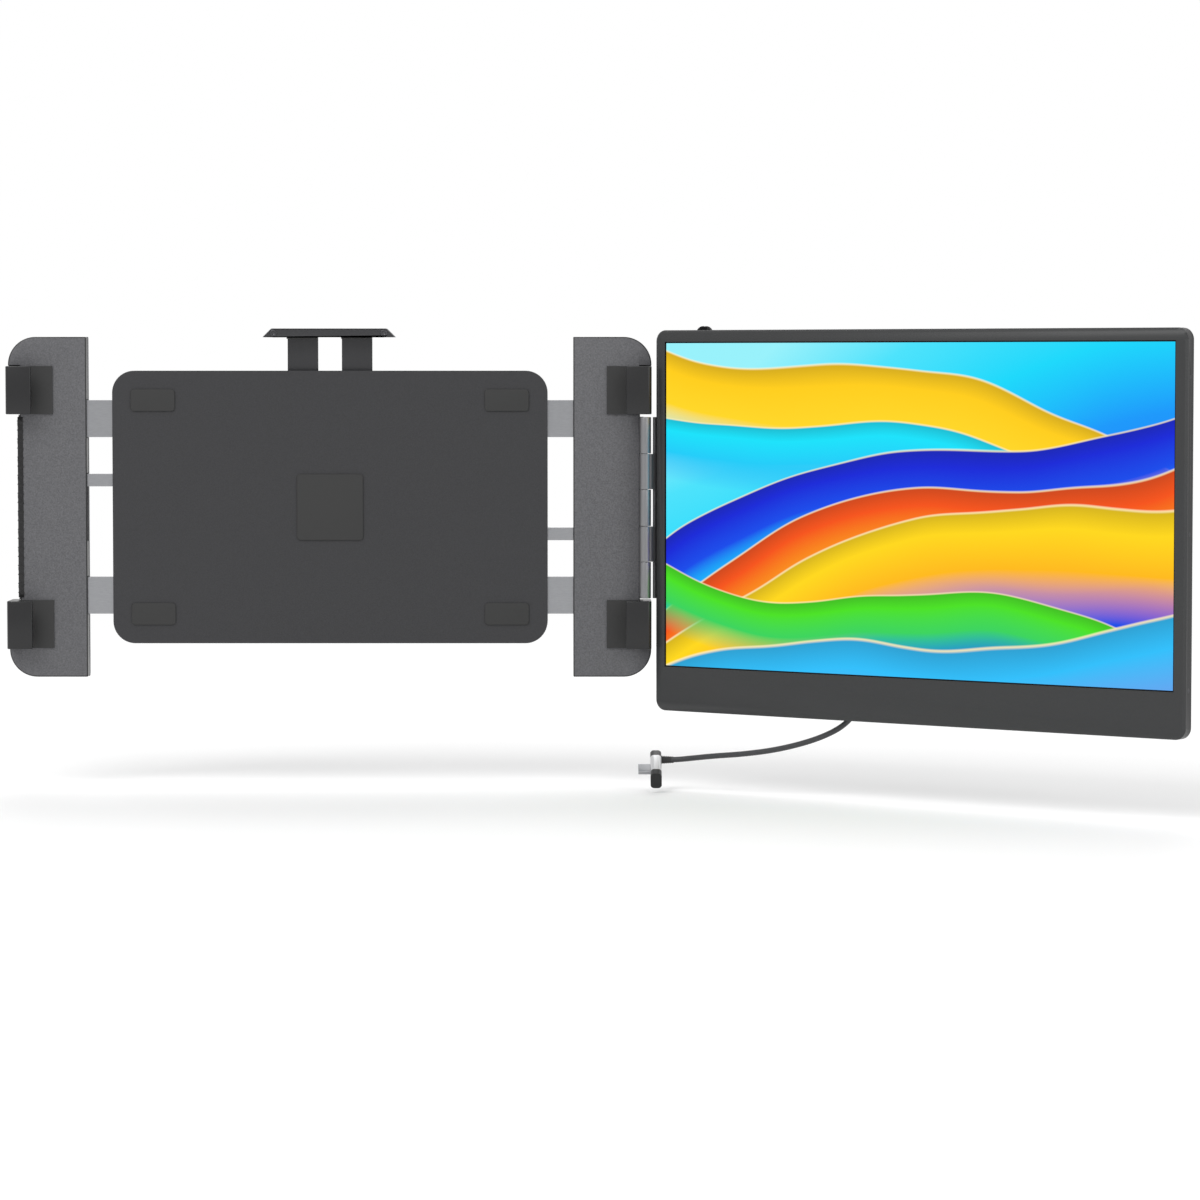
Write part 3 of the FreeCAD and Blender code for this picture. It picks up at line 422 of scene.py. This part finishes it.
def lit_picture():
    """A generic picture of soft overlapping waves of colour, lit from behind."""
    material, tree, shader = principled("lit_picture")
    place = screen_place(tree)
    split = tree.nodes.new("ShaderNodeSeparateXYZ")
    feed(tree, split.inputs["Vector"], place)
    wide, tall = split.outputs["X"], split.outputs["Z"]
    across = calculate(tree, "MULTIPLY", wide, 1 / PICTURE_HALF[0])
    upward = calculate(tree, "MULTIPLY", tall, 1 / PICTURE_HALF[1])

    stir = tree.nodes.new("ShaderNodeTexNoise")
    stir.inputs["Scale"].default_value = RIPPLE_SCALE
    stir.inputs["Detail"].default_value = 1.0
    feed(tree, stir.inputs["Vector"], place)
    ripple = calculate(tree, "MULTIPLY_ADD", stir.outputs["Fac"], RIPPLE_HEIGHT, -RIPPLE_HEIGHT / 2)

    def wave(level, swell, pace, start, slope):
        """Height above one wavy line, which a slow ripple makes uneven."""
        swing = calculate(tree, "SINE", calculate(tree, "MULTIPLY_ADD", across, pace, start))
        line = calculate(tree, "MULTIPLY_ADD", swing, swell, level)
        line = calculate(tree, "MULTIPLY_ADD", across, slope, line)
        return calculate(tree, "SUBTRACT", upward, calculate(tree, "ADD", line, ripple))

    colour = ramp(tree, calculate(tree, "MULTIPLY_ADD", wave(*SKY_WAVE), 0.35, 0.5), SKY)
    for *line, reach, near, far in WAVES:
        height = wave(*line)
        stops = [
            (0.0, (255, 244, 200)), (0.004, (255, 236, 180)), (0.022, [CREST_SHADE * c for c in near]),
            (0.2, near), (1.0, far),
        ]
        band = ramp(tree, calculate(tree, "MULTIPLY_ADD", height, -1 / reach, 0.0), stops)
        inside = map_range(tree, height, source=(LINE_BLUR, -LINE_BLUR))
        depth = map_range(tree, height, source=(-reach, -reach * BAND_FADE))
        colour = mixed_colour(tree, calculate(tree, "MULTIPLY", inside, depth), colour, band)
    within = [
        calculate(tree, "LESS_THAN", calculate(tree, "ABSOLUTE", spot), half)
        for spot, half in zip((wide, tall), LIT_HALF)
    ]
    lit = mixed_colour(tree, calculate(tree, "MULTIPLY", *within), UNLIT, colour)
    shader.inputs["Base Color"].default_value = PICTURE_BLACK
    feed(tree, shader.inputs["Emission Color"], lit)
    shader.inputs["Emission Strength"].default_value = 1.0
    shader.inputs["Specular IOR Level"].default_value = 0.12
    shader.inputs["Roughness"].default_value = 0.4
    return material


# Each finish: its maker, darkest and palest display colour, roughness, then the maker's own values.
FINISHES = {
    "housing_grain": (grained, (26, 26, 28), (50, 50, 53), 0.5, 0.3),
    "wing_grain": (grained, (58, 58, 61), (106, 106, 109), 0.55, 0.4, 1500.0),
    "clip_satin": (grained, (14, 14, 15), (28, 28, 30), 0.3, 0.1),
    "bezel_satin": (grained, (32, 33, 34), (48, 49, 50), 0.44, 0.14),
    # The rear cover's black, which also stands as painted shade on the sides of the screen's bezel.
    "rear_black_and_side_shade": (grained, (14, 14, 15), (26, 26, 28), 0.36, 0.16, 1800.0),
    # This black is also the painted shade on the wings' rims.
    "black_rib_and_rim_shade": (grained, (8, 8, 9), (18, 18, 20), 0.3, 0.1),
    "silicone": (grained, (14, 14, 15), (24, 24, 25), 0.75, 0.2),
    "cable_jacket": (grained, (44, 45, 47), (62, 63, 65), 0.5, 0.12, 900.0),
    "silver_shell": (grained, (222, 222, 225), (238, 238, 240), 0.34, 0.1, 1800.0, 0.4),
    "satin_alloy": (brushed, (100, 104, 114), (126, 130, 141), 0.46),
    "bright_steel": (brushed, (140, 141, 144), (176, 177, 180), 0.34, (1, 40, 40)),
    "dark_screw": (brushed, (70, 70, 72), (95, 95, 98), 0.35, (1, 1, 1)),
    "pale_acetal": (grained, (208, 206, 198), (222, 220, 212), 0.4, 0.05),
    "light_guide": (grained, (225, 228, 232), (240, 242, 245), 0.25, 0.02),
    "solder_mask": (grained, (14, 66, 36), (20, 84, 46), 0.35, 0.1, 700.0),
}


def finish(name):
    """The material of that name, made at its first use."""
    if name in bpy.data.materials:
        return bpy.data.materials[name]
    if name == "lit_picture":
        return lit_picture()
    maker, dark, pale, *values = FINISHES[name]
    return maker(name, linear(*dark), linear(*pale), *values)


def wear(piece, name):
    piece.data.materials.clear()
    piece.data.materials.append(finish(name))


def wear_second(piece, name, test):
    """Give a second finish to the faces whose normal passes the test."""
    piece.data.materials.append(finish(name))
    for face in piece.data.polygons:
        face.material_index = int(test(face.normal))


def dress(piece, node, body):
    """Give a piece a node's finish, and let it ride on the body."""
    wear(piece, LOOKS[node])
    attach(piece, body)


def stand_in(piece, node, body):
    """Dress a piece as a node and put it in that node's place."""
    dress(piece, node, body)
    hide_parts(node)


class ExtenderSizes(bpy.types.PropertyGroup):
    cable_thickness: bpy.props.FloatProperty(
        name="Cable thickness", description="Outer diameter of the cable", default=0.003, unit="LENGTH",
    )
    head_bevel: bpy.props.FloatProperty(
        name="Screw bevel", description="Rounding of each screw head's rim", default=0.00025,
        unit="LENGTH",
    )
    socket_share: bpy.props.FloatProperty(
        name="Socket share", description="Width of a screw's hexagon over its head", default=0.5,
        subtype="FACTOR",
    )
    wheel_teeth: bpy.props.IntProperty(
        name="Wheel ridges", description="Ridges round the menu wheel", default=30,
    )
    edge_rounding: bpy.props.FloatProperty(
        name="Edge rounding", description="Rounding of moulded edges", default=0.0005, unit="LENGTH",
    )
    # The wings' rims are black with painted shade.
    rim_rounding: bpy.props.FloatProperty(
        name="Rim rounding", description="Rounding of the wings' black rims", default=0.0006,
        unit="LENGTH",
    )
    grip_ribs: bpy.props.IntProperty(
        name="Grip ribs", description="Slanted ribs along the left wing's edge", default=20,
    )
    relief_ribs: bpy.props.IntProperty(
        name="Relief ribs", description="Ribs along each of the cable's strain reliefs", default=6,
    )


class ExtenderStage(bpy.types.PropertyGroup):
    floor_colour: bpy.props.FloatVectorProperty(
        name="Floor", description="Colour of the floor", default=(0.9, 0.9, 0.9), subtype="COLOR",
    )
    lamp_power: bpy.props.FloatProperty(
        name="Lamp power", description="Power of the key lamp", default=26.0, unit="POWER",
    )
    floor_height: bpy.props.FloatProperty(
        name="Floor height", description="Height of the floor under the plug", default=-0.152,
        unit="LENGTH",
    )
    floor_reach: bpy.props.FloatProperty(
        name="Floor reach", description="Distance at which the floor has faded away", default=1.5,
        unit="LENGTH",
    )


def sizes():
    return bpy.context.scene.extender_sizes


def lay_floor(stage):
    """A pale floor that fades away before its far edge would show as a line."""
    clear_selection()
    bpy.ops.mesh.primitive_plane_add(size=FLOOR_SIZE, location=(0, 0, stage.floor_height))
    floor = settle(bpy.context.object, "floor")
    material, tree, shader = principled("floor_white")
    shader.inputs["Base Color"].default_value = (*stage.floor_colour, 1)
    shader.inputs["Roughness"].default_value = 0.9
    away = tree.nodes.new("ShaderNodeVectorMath")
    away.operation = "LENGTH"
    feed(tree, away.inputs[0], own_place(tree))
    span = (stage.floor_reach * FADE_START, stage.floor_reach)
    blend = tree.nodes.new("ShaderNodeMixShader")
    feed(tree, blend.inputs[0], map_range(tree, away.outputs["Value"], source=span, kind="SMOOTHSTEP"))
    feed(tree, blend.inputs[1], shader.outputs["BSDF"])
    feed(tree, blend.inputs[2], tree.nodes.new("ShaderNodeBsdfTransparent").outputs["BSDF"])
    feed(tree, tree.nodes["Material Output"].inputs["Surface"], blend.outputs["Shader"])
    floor.data.materials.append(material)


def light_world(scene):
    """White surroundings, dimmer as light than as the camera sees them."""
    world = bpy.data.worlds.new("studio")
    scene.world = world
    world.use_nodes = True
    tree = world.node_tree
    back = tree.nodes["Background"]
    back.inputs["Color"].default_value = (1, 1, 1, 1)
    path = tree.nodes.new("ShaderNodeLightPath")
    seen = calculate(
        tree, "MAXIMUM", path.outputs["Is Camera Ray"], path.outputs["Is Transmission Ray"],
    )
    feed(tree, back.inputs["Strength"], map_range(tree, seen, target=WORLD_STRENGTHS))


def hang_lamps(scene, power):
    for name, place, size, share in LAMPS:
        data = bpy.data.lights.new(name, "AREA")
        data.size = size
        data.energy = power * share
        lamp = bpy.data.objects.new(name, data)
        scene.collection.objects.link(lamp)
        lamp.location = place
        lamp.rotation_euler = (LAMP_AIM - Vector(place)).to_track_quat("-Z", "Y").to_euler()


def place_camera(scene):
    lens = bpy.data.cameras.new("photograph_view")
    lens.sensor_width = CAMERA_SENSOR
    lens.lens = CAMERA_LENS
    camera = bpy.data.objects.new("photograph_view", lens)
    scene.collection.objects.link(camera)
    camera.location = CAMERA_PLACE
    camera.rotation_euler = (math.radians(CAMERA_TILT), 0, 0)
    scene.camera = camera


class EXTENDER_OT_stage(bpy.types.Operator):
    """Add the pale floor, the soft lamps and the camera"""

    bl_idname = "extender.stage"
    bl_label = "Stage"

    def execute(self, context):
        stage = context.scene.extender_stage
        lay_floor(stage)
        light_world(context.scene)
        hang_lamps(context.scene, stage.lamp_power)
        place_camera(context.scene)
        context.scene.view_settings.view_transform = "Standard"
        return {"FINISHED"}


class EXTENDER_OT_finishes(bpy.types.Operator):
    """Give every node of the frame its finish"""

    bl_idname = "extender.finishes"
    bl_label = "Finishes"

    def execute(self, context):
        for node, name in LOOKS.items():
            wear(NODES[node], name)
        return {"FINISHED"}


class EXTENDER_OT_rounded_mouldings(bpy.types.Operator):
    """Round the sharp edges of the mouldings that the light catches"""

    bl_idname = "extender.rounded_mouldings"
    bl_label = "Rounded mouldings"

    def execute(self, context):
        for node, body, share in ROUNDED:
            piece = copy_of_node(node, node + "_rounded")
            bevel(piece, sizes().edge_rounding * share)
            smooth(piece)
            stand_in(piece, node, body)
        return {"FINISHED"}


class EXTENDER_OT_wing_rim_shade(bpy.types.Operator):
    """Round the rims of the wings' front shells and blacken every face that turns from the front: painted
    shade on the rims
    """

    bl_idname = "extender.wing_rims"
    bl_label = "Wing rim shade"

    def execute(self, context):
        for body in ("right_wing", "left_wing"):
            node = body + "_front"
            piece = copy_of_node(node, node + "_rounded")
            bevel(piece, sizes().rim_rounding, angle=RIM_ANGLE)
            smooth(piece)
            stand_in(piece, node, body)
            # Every face that turns from the front gets painted shade: black.
            wear_second(piece, "black_rib_and_rim_shade", lambda normal: abs(normal.y) < WING_SHADE_FACING)
        return {"FINISHED"}


class EXTENDER_OT_screen_side_shade(bpy.types.Operator):
    """Blacken the faces of the screen's bezel that turn from its front, its sides among them: painted
    shade, in a black a little glossier than its face
    """

    bl_idname = "extender.screen_sides"
    bl_label = "Screen side shade"

    def execute(self, context):
        piece = copy_of_node("screen_bezel", "screen_bezel_side_shade")
        smooth(piece)
        stand_in(piece, "screen_bezel", "screen")
        # Every face that turns from the screen's front gets painted shade: black.
        wear_second(piece, "rear_black_and_side_shade", lambda normal: abs(normal.dot(ROLL_AXIS)) < SCREEN_SHADE_FACING)
        return {"FINISHED"}


class EXTENDER_OT_edge_grip(bpy.types.Operator):
    """Model the slanted black ribs that run round onto the front of the left wing's edge"""

    bl_idname = "extender.edge_grip"
    bl_label = "Edge grip"

    def execute(self, context):
        low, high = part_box("left_edge_ribs")
        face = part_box("left_wing_front")[0][1]
        middle = low[0] + 0.2 * MM + GRIP_WIDE / 2
        span = high[2] - low[2] - 2 * MM
        pitch = span / sizes().grip_ribs
        parts = [self.bar((GRIP_WIDE, GRIP_PROUD, span), (middle, face, 0), 0)]
        for number in range(sizes().grip_ribs):
            size = (GRIP_WIDE * 1.05, GRIP_PROUD * 1.2, pitch * 0.42)
            place = (middle, face - GRIP_PROUD * 0.5, -span / 2 + pitch * (number + 0.5))
            parts.append(self.bar(size, place, GRIP_SLANT))
        grip = join(parts, "edge_grip")
        smooth(grip)
        dress(grip, "left_edge_ribs", "left_wing")
        return {"FINISHED"}

    def bar(self, size, place, slant):
        clear_selection()
        bpy.ops.mesh.primitive_cube_add(size=1, location=place)
        piece = bpy.context.object
        piece.scale = size
        bpy.ops.object.transform_apply(location=False, rotation=False, scale=True)
        bevel(piece, min(size) * 0.42)
        piece.rotation_euler = (0, math.radians(slant), 0)
        return settle(piece, "grip_bar")


def ribbed_sleeve(start, heading, length, wide, narrow, label):
    """A tapered strain relief: a core with ribs round it, each narrower than the last."""
    ribs = sizes().relief_ribs
    pitch, fall = length / ribs, (wide - narrow) / ribs
    cones = [(wide * CORE_ENDS[0], narrow * CORE_ENDS[1], length, length / 2)]
    for number in range(ribs):
        radius = wide - fall * number
        cones.append((radius, radius - fall * RIB_TAPER, pitch * RIB_DEPTH, pitch * (number + RIB_START)))
    parts = []
    for low, high, depth, middle in cones:
        clear_selection()
        bpy.ops.mesh.primitive_cone_add(
            vertices=28, radius1=low, radius2=high, depth=depth, location=(0, 0, middle),
        )
        parts.append(bpy.context.object)
        bevel(parts[-1], depth * 0.08, 2, RIM_ANGLE)
    sleeve = join(parts, label)
    turned(sleeve, heading)
    sleeve.location = start
    settle(sleeve, label)
    smooth(sleeve)
    dress(sleeve, "port_plug_relief", "screen")
    return sleeve


def screw_head(place, radius, height, facing):
    """A round cap with a hexagonal socket, its face towards facing."""
    clear_selection()
    bpy.ops.mesh.primitive_cylinder_add(vertices=36, radius=radius, depth=height)
    head = bpy.context.object
    bpy.ops.mesh.primitive_cylinder_add(
        vertices=6, radius=radius * sizes().socket_share, depth=height, location=(0, 0, height * 0.5),
    )
    hollow = bpy.context.object
    change = head.modifiers.new("Socket", "BOOLEAN")
    change.object = hollow
    change.solver = "EXACT"
    apply_modifiers(head)
    bpy.data.objects.remove(hollow)
    bevel(head, sizes().head_bevel, 2, RIM_ANGLE)
    turned(head, facing)
    head.location = Vector(place) - Vector(facing) * height / 2
    return settle(head, "head")


class EXTENDER_OT_screw_heads(bpy.types.Operator):
    """Model the socket-head screws over their plain ones"""

    bl_idname = "extender.screw_heads"
    bl_label = "Screw heads"

    def execute(self, context):
        for node, body in CORNER_SCREWS:
            low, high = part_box(node)
            heads = [
                screw_head((x, high[1], z), SCREW_RADIUS, SCREW_TALL, (0, 1, 0))
                for x in (low[0] + SCREW_RADIUS, high[0] - SCREW_RADIUS)
                for z in (low[2] + SCREW_RADIUS, high[2] - SCREW_RADIUS)
            ]
            self.place_heads(heads, node, body)
        low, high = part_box("hook_screws")
        radius = (high[2] - low[2]) / 2
        heads = [
            screw_head((x, low[1], (low[2] + high[2]) / 2), radius, SCREW_TALL * 0.9, (0, -1, 0))
            for x in (low[0] + radius, high[0] - radius)
        ]
        self.place_heads(heads, "hook_screws", "top_hook")
        return {"FINISHED"}

    def place_heads(self, heads, node, body):
        piece = join(heads, node + "_heads")
        smooth(piece)
        stand_in(piece, node, body)


class EXTENDER_OT_menu_wheel(bpy.types.Operator):
    """Model the ridged menu wheel in the screen's top edge"""

    bl_idname = "extender.menu_wheel"
    bl_label = "Menu wheel"

    def execute(self, context):
        teeth = sizes().wheel_teeth
        sector = math.pi / teeth
        clear_selection()
        bpy.ops.mesh.primitive_cylinder_add(vertices=teeth * 2, radius=WHEEL_RADIUS, depth=WHEEL_THICK)
        wheel = context.object
        select_faces(
            wheel,
            lambda spot, normal: abs(normal.z) < 0.5
            and int((math.atan2(spot.y, spot.x) + math.pi) / sector + 0.001) % 2 == 0,
        )
        bpy.ops.mesh.inset(thickness=RIDGE_INSET, depth=-WHEEL_DEPTH, use_individual=True)
        select_faces(wheel, lambda spot, normal: abs(normal.z) > 0.9)
        bpy.ops.mesh.inset(thickness=WHEEL_INSET, depth=-WHEEL_DEPTH, use_individual=True)
        bpy.ops.object.mode_set(mode="OBJECT")
        # The insets push the ridges out, so the wheel is brought back to its radius.
        reach = max(vertex.co.xy.length for vertex in wheel.data.vertices)
        wheel.scale = (WHEEL_RADIUS / reach, WHEEL_RADIUS / reach, 1)
        turned(wheel, ROLL_AXIS)
        wheel.location = Vector(JOINTS["jog_roll"]["pos_m"])
        settle(wheel, "ridged_wheel")
        smooth(wheel, 25)
        stand_in(wheel, "jog_wheel", "jog_wheel")
        return {"FINISHED"}


class EXTENDER_OT_cable(bpy.types.Operator):
    """Lay the cable between the screen's port and the elbow plug"""

    bl_idname = "extender.cable"
    bl_label = "Cable"

    def execute(self, context):
        thick = sizes().cable_thickness
        data = bpy.data.curves.new("cable", "CURVE")
        data.dimensions = "3D"
        spline = data.splines.new("NURBS")
        spline.points.add(len(CABLE) - 1)
        for point, place in zip(spline.points, CABLE):
            point.co = (*place, 1)
        spline.order_u = 3
        spline.use_endpoint_u = True
        spline.resolution_u = 12
        data.bevel_depth = thick / 2
        data.bevel_resolution = 6
        data.use_fill_caps = True
        cable = bpy.data.objects.new("cable", data)
        context.scene.collection.objects.link(cable)
        stand_in(cable, "usb_cable", "screen")

        points = [Vector(place) for place in CABLE]
        port, after, before, plug = *points[:2], *points[-2:]
        mouth = Vector((port.x, port.y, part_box("port_plug")[0][2]))
        end = thick * SLEEVE_END
        port_sleeve = ribbed_sleeve(mouth, after - port, 11 * MM, 2.5 * MM, end, "port_sleeve")
        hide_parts("port_plug_relief")
        plug_sleeve = ribbed_sleeve(plug, before - plug, 7 * MM, 2.2 * MM, end, "plug_sleeve")
        return {"FINISHED"}


OPERATORS = (
    EXTENDER_OT_stage, EXTENDER_OT_cable, EXTENDER_OT_finishes, EXTENDER_OT_rounded_mouldings,
    EXTENDER_OT_wing_rim_shade, EXTENDER_OT_screen_side_shade, EXTENDER_OT_edge_grip, EXTENDER_OT_screw_heads,
    EXTENDER_OT_menu_wheel,
)


class EXTENDER_PT_sidebar(bpy.types.Panel):
    """Lists the steps that dress the screen extender"""

    bl_label = "Screen extender"
    bl_idname = "EXTENDER_PT_sidebar"
    bl_space_type = "VIEW_3D"
    bl_region_type = "UI"
    bl_category = "Extender"

    def draw(self, context):
        for group in (context.scene.extender_sizes, context.scene.extender_stage):
            for name in group.__annotations__:
                self.layout.prop(group, name)
        for operator in OPERATORS:
            self.layout.operator(operator.bl_idname)


CLASSES = (ExtenderSizes, ExtenderStage, *OPERATORS, EXTENDER_PT_sidebar)


def register():
    for item in CLASSES:
        bpy.utils.register_class(item)
    bpy.types.Scene.extender_sizes = bpy.props.PointerProperty(type=ExtenderSizes)
    bpy.types.Scene.extender_stage = bpy.props.PointerProperty(type=ExtenderStage)


def unregister():
    del bpy.types.Scene.extender_stage
    del bpy.types.Scene.extender_sizes
    for item in reversed(CLASSES):
        bpy.utils.unregister_class(item)


def main():
    register()
    bpy.ops.extender.stage()
    bpy.ops.extender.cable()
    bpy.ops.extender.finishes()
    bpy.ops.extender.rounded_mouldings()
    bpy.ops.extender.wing_rims()
    bpy.ops.extender.screen_sides()
    bpy.ops.extender.edge_grip()
    bpy.ops.extender.screw_heads()
    bpy.ops.extender.menu_wheel()
    bpy.context.view_layer.update()


if __name__ == "__main__":
    main()
